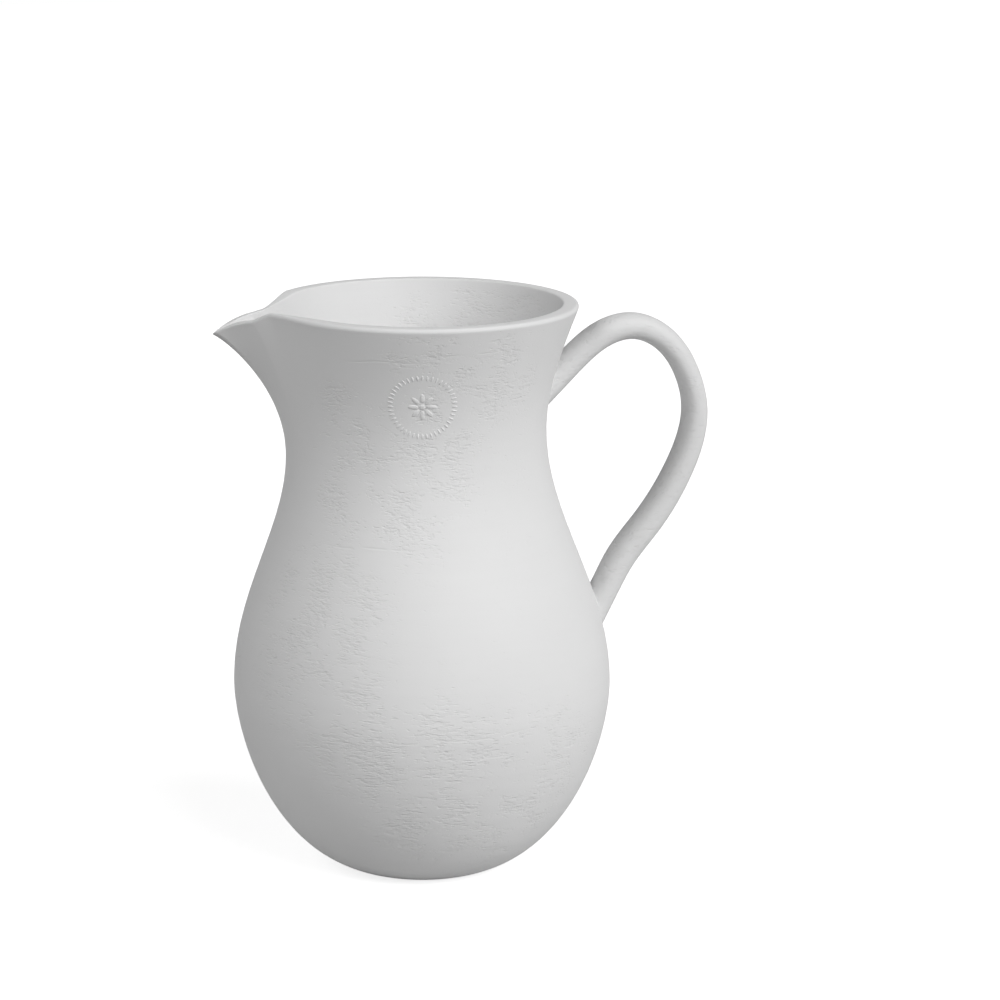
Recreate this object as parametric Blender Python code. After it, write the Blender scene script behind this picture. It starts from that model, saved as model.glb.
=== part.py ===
"""Wheel-thrown ceramic vase of pitcher form with a pulled spout and a strap handle.

Frame: metres, +Z up, origin at the middle of the flat foot on the table.
The spout points to -X and the handle stands on +X, both in the plane y = 0.
"""
import bpy
import numpy as np

# Vessel wall, outside
HEIGHT = 0.250
BELLY_RADIUS = 0.0824
BELLY_HEIGHT = 0.0813
BELLY_SWEEP = 0.0676
BELLY_ROUNDNESS = 2.26
FOOT_ROUNDNESS = 1.69
FOOT_CUT = 0.0026
NECK_RADIUS = 0.0538
NECK_HEIGHT = 0.1949
NECK_BEND_RADIUS = 0.0840
LIP_RADIUS = 0.0672
LIP_FLARE = 0.376
LIP_BEND_RADIUS = -0.769
LIP_OUTER_ROUND = 0.0015

# Vessel wall, inside
LIP_WIDTH = 0.0070
LIP_INNER_ROUND = 0.0010
WALL_THICKNESS = 0.0055
FLOOR_THICKNESS = 0.0080

# Spout rim on the side of +Y: reach from the axis, half width, drop below the rim plane
SPOUT_REACH = 0.0907
SPOUT_DROP = 0.0107
BEAK_REACH = 0.0735
BEAK_HALF_WIDTH = 0.0104
BEAK_DROP = 0.0040
THROAT_REACH = 0.0679
THROAT_HALF_WIDTH = 0.0123
THROAT_DROP = 0.0029
SPOUT_SPREAD = np.radians(37.0)
SPOUT_LIP = 0.0026
SPOUT_TIP_LIP = 0.0058
SPOUT_LIP_SLANT = 0.0009
SPOUT_TIP_DEPTH = 0.0027
SPOUT_EDGE_ROUND = 0.0006
EDGE_THINNING_LENGTH = 0.012

# Flank of the spout below that rim, where the pinch of the throat eases
FLANK_BEAK_HALF_WIDTH = 0.0104
FLANK_THROAT_HALF_WIDTH = 0.0131
FLANK_SPREAD_SLOPE = 1.24
PINCH_LENGTH = 0.0060

# Spout rim and flank on the side of -Y, which is hardly pinched
EASY_BEAK_REACH = 0.0756
EASY_BEAK_HALF_WIDTH = 0.0118
EASY_BEAK_DROP = 0.0039
EASY_THROAT_REACH = 0.0686
EASY_THROAT_HALF_WIDTH = 0.0190
EASY_THROAT_DROP = -0.0002
EASY_TIP_SPREAD_SLOPE = 0.50
EASY_BEAK_SPREAD_SLOPE = 0.90
EASY_THROAT_SPREAD_SLOPE = 1.25
EASY_TIP_RISE = 0.68
EASY_BEAK_RISE = 0.207
EASY_THROAT_RISE = 0.092

# Rim line of the spout: slopes and pulls at the tip, beak, throat and join
TIP_SPREAD_SLOPE = 0.0907
TIP_RISE_SLOPE = 0.902
TIP_PULL = 1.22
BEAK_PULL = 0.287
THROAT_PULL = 0.632
THROAT_SPREAD_SLOPE = 1.24
THROAT_RISE_SLOPE = 0.0825
SHOULDER_PULL = 0.546
JOIN_PULL = 0.379

# How the pull of the spout dies away down the wall
PULL_LENGTH = 0.0396
PULL_SHAPE = 0.873
PULL_FOOT = 0.234
PULL_FADE = 0.1335
RIDGE_LENGTH = 0.0344
RIDGE_SHAPE = 1.5
SWELL_SPREAD = np.radians(62.0)

# Strap handle: middle line as reach and height, and thickness along it
HANDLE_LINE = (
    (0.0549, 0.2107),
    (0.0689, 0.2254),
    (0.0779, 0.2325),
    (0.0929, 0.2366),
    (0.1074, 0.2300),
    (0.1177, 0.2146),
    (0.1212, 0.1996),
    (0.1138, 0.1707),
    (0.1008, 0.1492),
    (0.0883, 0.1326),
    (0.0804, 0.1175),
    (0.0765, 0.1110),
)
HANDLE_THICKNESS = (0.0112, 0.0112, 0.0112, 0.0104, 0.0114, 0.0122, 0.0123, 0.0113)
HANDLE_WIDTH = 0.0180
HANDLE_SQUARENESS = 2.3
ROOT_FLARE = 0.0016
ROOT_LENGTH = 0.0130
ROOT_TRAVEL = 0.0600

# Luted joints
SLIP_THICKNESS = 0.0014
SLIP_BEAD = 0.0004
SLIP_BEAD_EDGE = 0.0002
CLEARANCE = 0.0003

# Mesh fineness
LOWER_ROWS = 11
MIDDLE_ROWS = 12
UPPER_ROWS = 12
UPPER_CROWDING = 1.5
LIP_STEPS = 4
INNER_LIP_STEPS = 2
INNER_UPPER_ROWS = 8
INNER_MIDDLE_ROWS = 8
INNER_LOWER_ROWS = 8
SPOUT_COLUMNS = 13
ROUND_COLUMNS = 27
HANDLE_RINGS = 34
RING_POINTS = 28
CAP_SCALES = (0.84, 0.67, 0.5, 0.33, 0.16)
ROOT_STEPS = 4
HIT_STEPS = 48
SHARP_ANGLE = np.radians(40.0)

# Fired white clay under a thin wash
CLAY = (0.76, 0.76, 0.76, 1.0)
HANDLE_CLAY = (0.75, 0.75, 0.75, 1.0)
SLIP = (0.73, 0.73, 0.73, 1.0)
ROUGHNESS = 0.9


def blend(height, low, high):
    """Radius at a height on the curve between two stations.

    A station is (height, radius, slope, curvature); curvature is one over the bend radius.
    """
    z0, r0, s0, k0 = low
    z1, r1, s1, k1 = high
    rise = z1 - z0
    u = (height - z0) / rise
    u2 = u * u
    u3 = u2 * u
    u4 = u3 * u
    u5 = u4 * u
    start = 1 - 10 * u3 + 15 * u4 - 6 * u5
    start_slope = u - 6 * u3 + 8 * u4 - 3 * u5
    start_bend = (u2 - 3 * u3 + 3 * u4 - u5) / 2
    end_slope = -4 * u3 + 7 * u4 - 3 * u5
    end_bend = (u3 - 2 * u4 + u5) / 2
    return (start * r0 + start_slope * s0 * rise + start_bend * k0 * rise ** 2
            + (1 - start) * r1 + end_slope * s1 * rise + end_bend * k1 * rise ** 2)


def bowl(turn, radius, top, bottom):
    """Lower curve of the wall; turn runs from 0 at the belly to 90 degrees at the bottom."""
    r = radius - BELLY_SWEEP * (1 - np.cos(turn) ** (2 / BELLY_ROUNDNESS))
    z = top - (top - bottom) * np.sin(turn) ** (2 / FOOT_ROUNDNESS)
    return r, z


def crowded(low, high, count):
    """Heights from low to high that lie closer together near the top."""
    share = 1 - np.linspace(1, 0, count) ** UPPER_CROWDING
    return low + (high - low) * share


def outside_rows():
    """Radius, height and share of the way across the lip, from the foot to the lip."""
    flare = np.arctan(LIP_FLARE)
    corner = LIP_RADIUS - LIP_OUTER_ROUND
    lip_start = (HEIGHT - LIP_OUTER_ROUND * (1 + np.sin(flare)),
                 corner + LIP_OUTER_ROUND * np.cos(flare), LIP_FLARE, 1 / LIP_BEND_RADIUS)
    depth = BELLY_HEIGHT + FOOT_CUT
    belly = (BELLY_HEIGHT, BELLY_RADIUS, 0.0, -BELLY_SWEEP / depth ** 2)
    neck = (NECK_HEIGHT, NECK_RADIUS, 0.0, 1 / NECK_BEND_RADIUS)
    foot_turn = np.arcsin((BELLY_HEIGHT / depth) ** (FOOT_ROUNDNESS / 2))
    r1, z1 = bowl(np.linspace(foot_turn, 0, LOWER_ROWS), BELLY_RADIUS, BELLY_HEIGHT, -FOOT_CUT)
    z2 = np.linspace(BELLY_HEIGHT, NECK_HEIGHT, MIDDLE_ROWS)[1:]
    z3 = crowded(NECK_HEIGHT, lip_start[0], UPPER_ROWS)[1:]
    turn = np.linspace(-flare, np.pi / 2, LIP_STEPS + 1)[1:]
    r4 = corner + LIP_OUTER_ROUND * np.cos(turn)
    z4 = HEIGHT - LIP_OUTER_ROUND * (1 - np.sin(turn))
    r = np.concatenate([r1, blend(z2, belly, neck), blend(z3, neck, lip_start), r4])
    z = np.concatenate([z1, z2, z3, z4])
    across = np.zeros_like(r)
    over = len(r) - LIP_STEPS
    share = (LIP_RADIUS - r[over:]) / LIP_WIDTH
    across[over:] = np.where(turn > 0, share, 0.0)
    return r, z, across


def inside_rows():
    """Radius, height and share across the lip, from the lip down to the inner floor."""
    flare = np.arctan(LIP_FLARE)
    lip_inside = LIP_RADIUS - LIP_WIDTH
    corner = lip_inside + LIP_INNER_ROUND
    turn = np.linspace(np.pi / 2, np.pi - flare, INNER_LIP_STEPS + 1)
    r1 = corner + LIP_INNER_ROUND * np.cos(turn)
    z1 = HEIGHT - LIP_INNER_ROUND * (1 - np.sin(turn))
    depth = BELLY_HEIGHT - FLOOR_THICKNESS
    belly = (BELLY_HEIGHT, BELLY_RADIUS - WALL_THICKNESS, 0.0, -BELLY_SWEEP / depth ** 2)
    neck = (NECK_HEIGHT, NECK_RADIUS - WALL_THICKNESS, 0.0, 1 / NECK_BEND_RADIUS)
    lip_end = (z1[-1], r1[-1], LIP_FLARE, 1 / LIP_BEND_RADIUS)
    z2 = crowded(NECK_HEIGHT, z1[-1], INNER_UPPER_ROWS)[-2::-1]
    z3 = np.linspace(NECK_HEIGHT, BELLY_HEIGHT, INNER_MIDDLE_ROWS)[1:]
    r4, z4 = bowl(np.linspace(0, np.pi / 2, INNER_LOWER_ROWS)[1:],
                  BELLY_RADIUS - WALL_THICKNESS, BELLY_HEIGHT, FLOOR_THICKNESS)
    r = np.concatenate([r1, blend(z2, neck, lip_end), blend(z3, belly, neck), r4])
    z = np.concatenate([z1, z2, z3, z4])
    across = np.ones_like(r)
    across[:len(r1)] = np.minimum((LIP_RADIUS - r1) / LIP_WIDTH, 1.0)
    return r, z, across


def span(u, p0, p1, m0, m1):
    """Cubic piece between two points with their pulls."""
    u = u[:, None]
    u2 = u * u
    u3 = u2 * u
    return ((2 * u3 - 3 * u2 + 1) * p0 + (u3 - 2 * u2 + u) * m0
            + (3 * u2 - 2 * u3) * p1 + (u3 - u2) * m1)


def unit(v):
    return v / np.linalg.norm(v)


def rim_line(u, tip, beak, throat, slopes, radius):
    """Rim of the spout on one side, as reach, half width and height above the rim plane."""
    join = radius * np.array([np.cos(SPOUT_SPREAD), np.sin(SPOUT_SPREAD), 0.0])
    reach1 = np.linalg.norm(beak - tip)
    reach2 = np.linalg.norm(throat - beak)
    reach3 = np.linalg.norm(join - throat)
    whole = reach1 + reach2 + reach3
    a = reach1 / whole
    b = (reach1 + reach2) / whole
    at_tip, at_beak, at_throat = (unit(np.array([-1.0, spread, rise])) for spread, rise in slopes)
    at_join = np.array([-np.sin(SPOUT_SPREAD), np.cos(SPOUT_SPREAD), 0.0])
    line = np.zeros((len(u), 3))
    part = u <= a
    line[part] = span(u[part] / a, tip, beak, at_tip * reach1 * TIP_PULL,
                      at_beak * reach1 * BEAK_PULL)
    part = (u > a) & (u <= b)
    line[part] = span((u[part] - a) / (b - a), beak, throat, at_beak * reach2 * BEAK_PULL,
                      at_throat * reach2 * THROAT_PULL)
    part = u > b
    line[part] = span((u[part] - b) / (1 - b), throat, join, at_throat * reach3 * SHOULDER_PULL,
                      at_join * reach3 * JOIN_PULL)
    return line


def spout_marks(easy):
    """Beak, throat and slopes of one side's rim line, and the same of the flank below it."""
    if easy:
        beak = np.array([EASY_BEAK_REACH, EASY_BEAK_HALF_WIDTH, -EASY_BEAK_DROP])
        throat = np.array([EASY_THROAT_REACH, EASY_THROAT_HALF_WIDTH, -EASY_THROAT_DROP])
        slopes = ((EASY_TIP_SPREAD_SLOPE, EASY_TIP_RISE), (EASY_BEAK_SPREAD_SLOPE, EASY_BEAK_RISE),
                  (EASY_THROAT_SPREAD_SLOPE, EASY_THROAT_RISE))
        return (beak, throat, slopes), (beak, throat, slopes)
    beak = np.array([BEAK_REACH, BEAK_HALF_WIDTH, -BEAK_DROP])
    throat = np.array([THROAT_REACH, THROAT_HALF_WIDTH, -THROAT_DROP])
    beak_rise = (BEAK_DROP - THROAT_DROP) / (BEAK_REACH - THROAT_REACH)
    slopes = ((TIP_SPREAD_SLOPE, TIP_RISE_SLOPE), (0.0, beak_rise),
              (THROAT_SPREAD_SLOPE, THROAT_RISE_SLOPE))
    flank_beak = np.array([BEAK_REACH, FLANK_BEAK_HALF_WIDTH, -BEAK_DROP])
    flank_throat = np.array([THROAT_REACH, FLANK_THROAT_HALF_WIDTH, -THROAT_DROP])
    flank_slopes = (slopes[0], slopes[1], (FLANK_SPREAD_SLOPE, THROAT_RISE_SLOPE))
    return (beak, throat, slopes), (flank_beak, flank_throat, flank_slopes)


def spout_pull(angle, u, radius, tip, step, easy):
    """How far each column moves: the pinched rim, the flanks below it, and the swell below those."""
    near = len(u)
    on_circle = np.stack([radius * np.cos(angle), radius * np.sin(angle), 0 * angle], axis=1)[:near]
    pulls = []
    for beak, throat, slopes in spout_marks(easy):
        pull = np.zeros((len(angle), 3))
        pull[:near] = rim_line(u, tip, beak + step, throat + step, slopes, radius) - on_circle
        pulls.append(pull)
    swell = np.where(angle < SWELL_SPREAD, np.cos(np.pi * angle / (2 * SWELL_SPREAD)) ** 2, 0.0)
    swell = swell[:, None] * np.array([tip[0] - radius, 0.0, tip[2]])
    return np.stack(pulls + [swell])


def half_points(easy):
    """Wall points on one side, rows from the foot over the lip to the inner floor."""
    u = np.linspace(0, 1, SPOUT_COLUMNS)
    rest = np.linspace(SPOUT_SPREAD, np.pi, ROUND_COLUMNS + 1)[1:]
    angle = np.concatenate([u * SPOUT_SPREAD, rest])
    tip = np.array([SPOUT_REACH, 0.0, -SPOUT_DROP])
    inner_tip = tip + np.array([-SPOUT_TIP_LIP, 0.0, SPOUT_TIP_DEPTH])
    inner_step = np.array([-SPOUT_LIP_SLANT, -SPOUT_LIP, 0.0])
    out_pull = spout_pull(angle, u, LIP_RADIUS, tip, np.zeros(3), easy)
    in_pull = spout_pull(angle, u, LIP_RADIUS - LIP_WIDTH, inner_tip, inner_step, easy)
    r_out, z_out, across_out = outside_rows()
    r_in, z_in, across_in = inside_rows()
    r = np.concatenate([r_out, r_in])[:, None]
    z = np.concatenate([z_out, z_in])[:, None]
    across = np.concatenate([across_out, across_in])[:, None, None]
    below = np.maximum(HEIGHT - z - LIP_OUTER_ROUND, 0)
    fade = np.clip((PULL_FOOT - below) / PULL_FADE, 0, 1)
    weight = np.exp(-(below / PULL_LENGTH) ** PULL_SHAPE) * fade ** 2 * (3 - 2 * fade)
    ridge = np.exp(-(below / RIDGE_LENGTH) ** RIDGE_SHAPE)[:, :, None]
    pinch = np.exp(-(below / PINCH_LENGTH) ** RIDGE_SHAPE)[:, :, None] * ridge
    parts = (1 - across) * out_pull[:, None] + across * in_pull[:, None]
    pull = pinch * parts[0] + (ridge - pinch) * parts[1] + (1 - ridge) * parts[2]
    pull = weight[:, :, None] * pull
    thin = np.clip(1 - angle / SPOUT_SPREAD, 0, 1)
    thin = thin ** 2 * (3 - 2 * thin)
    spare = np.minimum(HEIGHT - z, LIP_OUTER_ROUND - SPOUT_EDGE_ROUND)
    lift = spare * np.exp(-below / EDGE_THINNING_LENGTH) * (across[:, :, 0] < 1) * thin
    reach = r * np.cos(angle) + pull[:, :, 0]
    side = r * np.sin(angle) + pull[:, :, 1]
    height = z + lift + pull[:, :, 2]
    return np.stack([-reach, side, height], axis=2)


def vessel_points():
    """Grid of wall points all round, from the spout by way of +Y to the handle and back."""
    easy = half_points(True)[:, -2:0:-1] * np.array([1.0, -1.0, 1.0])
    return np.concatenate([half_points(False), easy], axis=1)


def wall_radius(height, gap):
    """Outside radius of the turned wall at a height, moved outward by a gap."""
    r, z, _ = outside_rows()
    r = r[:-LIP_STEPS]
    z = z[:-LIP_STEPS]
    slope = np.gradient(r, z)
    length = np.sqrt(1 + slope ** 2)
    return np.interp(height, z - gap * slope / length, r + gap / length)


def natural_curve(knots, values, at):
    """Natural cubic curve through the values."""
    count = len(knots)
    step = np.diff(knots)
    matrix = np.eye(count)
    right = np.zeros_like(values)
    for i in range(1, count - 1):
        matrix[i, i - 1] = step[i - 1]
        matrix[i, i] = 2 * (step[i - 1] + step[i])
        matrix[i, i + 1] = step[i]
        rise = (values[i + 1] - values[i]) / step[i]
        right[i] = 6 * (rise - (values[i] - values[i - 1]) / step[i - 1])
    bend = np.linalg.solve(matrix, right)
    k = np.clip(np.searchsorted(knots, at) - 1, 0, count - 2)
    t = (at - knots[k])[:, None]
    h = step[k][:, None]
    first = (values[k + 1] - values[k]) / h - h * (2 * bend[k] + bend[k + 1]) / 6
    return values[k] + t * (first + t * (bend[k] / 2 + t * (bend[k + 1] - bend[k]) / (6 * h)))


def handle_line(count):
    """Middle points, directions and thickness along the handle, from the top root down."""
    line = np.array(HANDLE_LINE)
    steps = np.linalg.norm(np.diff(line, axis=0), axis=1)
    knots = np.concatenate([[0.0], np.cumsum(steps)])
    at = np.linspace(0, knots[-1], count)
    points = natural_curve(knots, line, at)
    along = np.gradient(points, axis=0)
    along = along / np.linalg.norm(along, axis=1)[:, None]
    marks = np.linspace(0, knots[-1], len(HANDLE_THICKNESS))
    thickness = natural_curve(marks, np.array(HANDLE_THICKNESS)[:, None], at)[:, 0]
    return at, points, along, thickness


def section():
    """Outline of the strap with half sizes of one: out from the vessel, then sideways."""
    turn = 2 * np.pi * np.arange(RING_POINTS) / RING_POINTS
    power = 2 / HANDLE_SQUARENESS
    out = np.sign(np.cos(turn)) * np.abs(np.cos(turn)) ** power
    side = np.sign(np.sin(turn)) * np.abs(np.sin(turn)) ** power
    return out, side


def ring(middle, along, half_out, half_side):
    """Points of one section across the handle line."""
    out, side = section()
    normal = np.array([-along[1], along[0]])
    xz = middle + (out * half_out)[:, None] * normal
    return np.stack([xz[:, 0], side * half_side, xz[:, 1]], axis=1)


def reach_wall(points, towards, gap):
    """Slide points along a direction until they lie on the wall moved out by a gap."""
    near = np.zeros(len(points))
    far = np.full(len(points), ROOT_TRAVEL)
    for _ in range(HIT_STEPS):
        middle = (near + far) / 2
        p = points + middle[:, None] * towards
        outside = np.hypot(p[:, 0], p[:, 1]) > wall_radius(p[:, 2], gap)
        near = np.where(outside, middle, near)
        far = np.where(outside, far, middle)
    return points + near[:, None] * towards


class Root:
    """One end of the handle: where the straight last stretch to the wall begins."""

    def __init__(self, middle, along, half_out, towards_wall):
        self.middle = middle
        self.along = along
        self.half_out = half_out
        self.towards = np.array([towards_wall[0], 0.0, towards_wall[1]])

    def outline(self, flare, bead, scale, gap):
        points = ring(self.middle, self.along, (self.half_out + bead) * scale,
                      (HANDLE_WIDTH / 2 + flare + bead) * scale)
        return reach_wall(points, self.towards, gap)

    def centre(self, gap):
        point = np.array([[self.middle[0], 0.0, self.middle[1]]])
        return reach_wall(point, self.towards, gap)[0]


def handle_parts():
    """Rings of the free handle and its two roots."""
    at, points, along, thickness = handle_line(HANDLE_RINGS)
    free = (at >= ROOT_LENGTH) & (at <= at[-1] - ROOT_LENGTH)
    picked = np.flatnonzero(free)
    rings = []
    for i in picked:
        rings.append(ring(points[i], along[i], thickness[i] / 2, HANDLE_WIDTH / 2))
    first = picked[0]
    last = picked[-1]
    top = Root(points[first], along[first], thickness[first] / 2, -along[first])
    low = Root(points[last], along[last], thickness[last] / 2, along[last])
    return rings, top, low


def make_object(name, points, faces, colour):
    """Object with its own material, smooth with sharp corners kept."""
    mesh = bpy.data.meshes.new(name)
    mesh.from_pydata([tuple(float(c) for c in p) for p in points], [], faces)
    mesh.update()
    body = bpy.data.objects.new(name, mesh)
    bpy.context.scene.collection.objects.link(body)
    material = bpy.data.materials.new(name)
    material.use_nodes = True
    shader = material.node_tree.nodes["Principled BSDF"]
    shader.inputs["Base Color"].default_value = colour
    shader.inputs["Roughness"].default_value = ROUGHNESS
    mesh.materials.append(material)
    mesh.shade_smooth()
    mesh.set_sharp_from_angle(angle=SHARP_ANGLE)
    return body


def strips(rows, columns, start=0):
    """Quads between closed rows of points."""
    faces = []
    for i in range(rows - 1):
        for j in range(columns):
            k = (j + 1) % columns
            a = start + i * columns
            b = a + columns
            faces.append((a + j, a + k, b + k, b + j))
    return faces


def fan(row_start, columns, pole, flip):
    """Triangles between a closed row and a middle point."""
    faces = []
    for j in range(columns):
        k = (j + 1) % columns
        edge = (row_start + k, row_start + j) if flip else (row_start + j, row_start + k)
        faces.append(edge + (pole,))
    return faces


def turned_round(faces):
    return [tuple(reversed(f)) for f in faces]


def build_vessel():
    grid = vessel_points()
    rows, columns, _ = grid.shape
    points = list(grid.reshape(-1, 3))
    points.append(np.array([0.0, 0.0, 0.0]))
    points.append(np.array([0.0, 0.0, FLOOR_THICKNESS]))
    faces = strips(rows, columns)
    faces += fan(0, columns, rows * columns, True)
    faces += fan((rows - 1) * columns, columns, rows * columns + 1, False)
    return make_object("vessel_body", points, turned_round(faces), CLAY)


def closed_tube(name, rings, start_pole, end_pole, colour):
    """Solid from a run of closed rings with a middle point at each end."""
    points = [p for one in rings for p in one]
    count = len(rings)
    points.append(start_pole)
    points.append(end_pole)
    faces = strips(count, RING_POINTS)
    faces += fan(0, RING_POINTS, count * RING_POINTS, True)
    faces += fan((count - 1) * RING_POINTS, RING_POINTS, count * RING_POINTS + 1, False)
    return make_object(name, points, turned_round(faces), colour)


def build_handle(rings, top, low):
    gap = 2 * CLEARANCE + SLIP_THICKNESS
    ends = []
    for root in (top, low):
        wall = root.outline(ROOT_FLARE, 0.0, 1.0, gap)
        free = ring(root.middle, root.along, root.half_out, HANDLE_WIDTH / 2)
        steps = []
        for share in np.linspace(0, 1, ROOT_STEPS + 1)[1:-1]:
            straight = root.outline(0.0, 0.0, 1.0, gap)
            plain = free + share * (straight - free)
            steps.append(plain + share ** 2 * (wall - straight))
        caps = [root.outline(ROOT_FLARE, 0.0, s, gap) for s in CAP_SCALES]
        ends.append((steps, wall, caps, root.centre(gap)))
    steps, wall, caps, top_pole = ends[0]
    run = caps[::-1] + [wall] + steps[::-1] + rings
    steps, wall, caps, low_pole = ends[1]
    run = run + steps + [wall] + caps
    return closed_tube("handle", run, top_pole, low_pole, HANDLE_CLAY)


def build_slip(name, root, flip):
    """Layer of slip between wall and handle end, with a small bead round it."""
    near = CLEARANCE
    far = CLEARANCE + SLIP_THICKNESS
    half = CLEARANCE + SLIP_THICKNESS / 2
    run = [root.outline(ROOT_FLARE, SLIP_BEAD_EDGE, s, near) for s in CAP_SCALES[::-1]]
    run.append(root.outline(ROOT_FLARE, SLIP_BEAD_EDGE, 1.0, near))
    run.append(root.outline(ROOT_FLARE, SLIP_BEAD, 1.0, half))
    run.append(root.outline(ROOT_FLARE, SLIP_BEAD_EDGE, 1.0, far))
    run += [root.outline(ROOT_FLARE, SLIP_BEAD_EDGE, s, far) for s in CAP_SCALES]
    poles = [root.centre(near), root.centre(far)]
    if flip:
        run = run[::-1]
        poles = poles[::-1]
    return closed_tube(name, run, poles[0], poles[1], SLIP)


def main():
    for old in list(bpy.data.objects):
        bpy.data.objects.remove(old, do_unlink=True)
    build_vessel()
    rings, top, low = handle_parts()
    build_handle(rings, top, low)
    build_slip("upper_slip_joint", top, False)
    build_slip("lower_slip_joint", low, True)


main()
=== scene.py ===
"""Studio scene of a wheel-thrown white ceramic vase with a pulled spout and a strap handle.

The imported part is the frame; the clay surfaces here stand in its place with their finish.
Metres, +Z up. The spout points to -X and the handle stands on +X.
"""
import math

import bpy
import numpy as np
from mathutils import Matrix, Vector


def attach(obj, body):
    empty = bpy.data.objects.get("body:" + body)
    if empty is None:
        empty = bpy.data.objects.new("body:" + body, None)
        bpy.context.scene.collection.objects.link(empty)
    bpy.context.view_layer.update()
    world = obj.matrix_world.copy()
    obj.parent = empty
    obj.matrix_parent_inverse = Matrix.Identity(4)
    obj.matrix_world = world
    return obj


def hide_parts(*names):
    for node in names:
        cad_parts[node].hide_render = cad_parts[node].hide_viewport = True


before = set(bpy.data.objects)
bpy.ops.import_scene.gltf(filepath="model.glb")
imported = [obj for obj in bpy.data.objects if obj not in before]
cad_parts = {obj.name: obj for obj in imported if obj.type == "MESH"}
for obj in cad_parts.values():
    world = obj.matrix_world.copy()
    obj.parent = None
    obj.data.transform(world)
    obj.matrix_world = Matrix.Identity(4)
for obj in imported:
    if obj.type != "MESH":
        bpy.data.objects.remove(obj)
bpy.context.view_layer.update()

# Turned wall
HEIGHT = 0.250
BELLY_RADIUS = 0.0824
BELLY_HEIGHT = 0.0813
BELLY_SWEEP = 0.0676
BELLY_ROUNDNESS = 2.26
FOOT_ROUNDNESS = 1.69
FOOT_CUT = 0.0026
FOOT_EDGE_ROUND = 0.0008
NECK_RADIUS = 0.0538
NECK_HEIGHT = 0.1949
NECK_BEND_RADIUS = 0.0840
LIP_RADIUS = 0.0672
LIP_FLARE = 0.376
LIP_BEND_RADIUS = -0.769
LIP_OUTER_ROUND = 0.0015
LIP_WIDTH = 0.0070
LIP_INNER_ROUND = 0.0010
WALL_THICKNESS = 0.0055
FLOOR_THICKNESS = 0.0080

# Spout rim on the side of +Y: reach from the axis, half width, drop below the rim plane
SPOUT_REACH = 0.0907
SPOUT_DROP = 0.0107
BEAK_REACH = 0.0735
BEAK_HALF_WIDTH = 0.0104
BEAK_DROP = 0.0040
THROAT_REACH = 0.0679
THROAT_HALF_WIDTH = 0.0123
THROAT_DROP = 0.0029
SPOUT_SPREAD = math.radians(37.0)
SPOUT_LIP = 0.0026
SPOUT_LIP_SLANT = 0.0009
SPOUT_TIP_LIP = 0.0058
SPOUT_TIP_DEPTH = 0.0027
SPOUT_EDGE_ROUND = 0.0006
EDGE_THINNING_LENGTH = 0.012

# Flank of the spout below that rim, where the pinch of the throat eases
FLANK_BEAK_HALF_WIDTH = 0.0104
FLANK_THROAT_HALF_WIDTH = 0.0131
FLANK_SPREAD_SLOPE = 1.24
PINCH_LENGTH = 0.0060

# Spout rim and flank on the side of -Y, which is hardly pinched
EASY_BEAK_REACH = 0.0756
EASY_BEAK_HALF_WIDTH = 0.0118
EASY_BEAK_DROP = 0.0039
EASY_THROAT_REACH = 0.0686
EASY_THROAT_HALF_WIDTH = 0.0190
EASY_THROAT_DROP = -0.0002
EASY_TIP_SPREAD_SLOPE = 0.50
EASY_BEAK_SPREAD_SLOPE = 0.90
EASY_THROAT_SPREAD_SLOPE = 1.25
EASY_TIP_RISE = 0.68
EASY_BEAK_RISE = 0.207
EASY_THROAT_RISE = 0.092

# Rim line of the spout: slopes, pulls at both ends of its pieces from tip, beak and throat, and how
# it dies away down the wall
TIP_SPREAD_SLOPE = 0.0907
TIP_RISE_SLOPE = 0.902
THROAT_SPREAD_SLOPE = 1.24
THROAT_RISE_SLOPE = 0.0825
RIM_PULLS = ((1.22, 0.287), (0.287, 0.632), (0.546, 0.379))
PULL_LENGTH = 0.0396
PULL_SHAPE = 0.873
PULL_FOOT = 0.234
PULL_FADE = 0.1335
RIDGE_LENGTH = 0.0344
RIDGE_SHAPE = 1.5
SWELL_SPREAD = math.radians(62.0)

# Strap handle: middle line as reach and height, and thickness along it
HANDLE_LINE = (
    (0.0549, 0.2107),
    (0.0689, 0.2254),
    (0.0779, 0.2325),
    (0.0929, 0.2366),
    (0.1074, 0.2300),
    (0.1177, 0.2146),
    (0.1212, 0.1996),
    (0.1138, 0.1707),
    (0.1008, 0.1492),
    (0.0883, 0.1326),
    (0.0804, 0.1175),
    (0.0765, 0.1110),
)
HANDLE_THICKNESS = (0.0112, 0.0112, 0.0112, 0.0104, 0.0114, 0.0122, 0.0123, 0.0113)
HANDLE_WIDTH = 0.0180
HANDLE_SQUARENESS = 2.3
HANDLE_RINGS = 190
HANDLE_POINTS = 72

# Ends of the strap, each straight into the wall, and the slip smeared round them
ROOT_LENGTH = 0.0130
ROOT_TRAVEL = 0.0600
ROOT_SINK = 0.0085
ROOT_RINGS = 12
UPPER_ROOT_ABOVE = 0.19
LOWER_ROOT_BELOW = 0.14
CAP_SHARES = (0.0, 0.3, 0.55, 0.75, 0.9)
HANDLE_SINK = 0.0004
SMEAR_POINTS = 96
SMEAR_STEPS = 12
SMEAR_SPREAD = 0.0006
SMEAR_RISE = 0.0007
SMEAR_COVER = 0.00012
SMEAR_SINK = 0.0002

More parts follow.
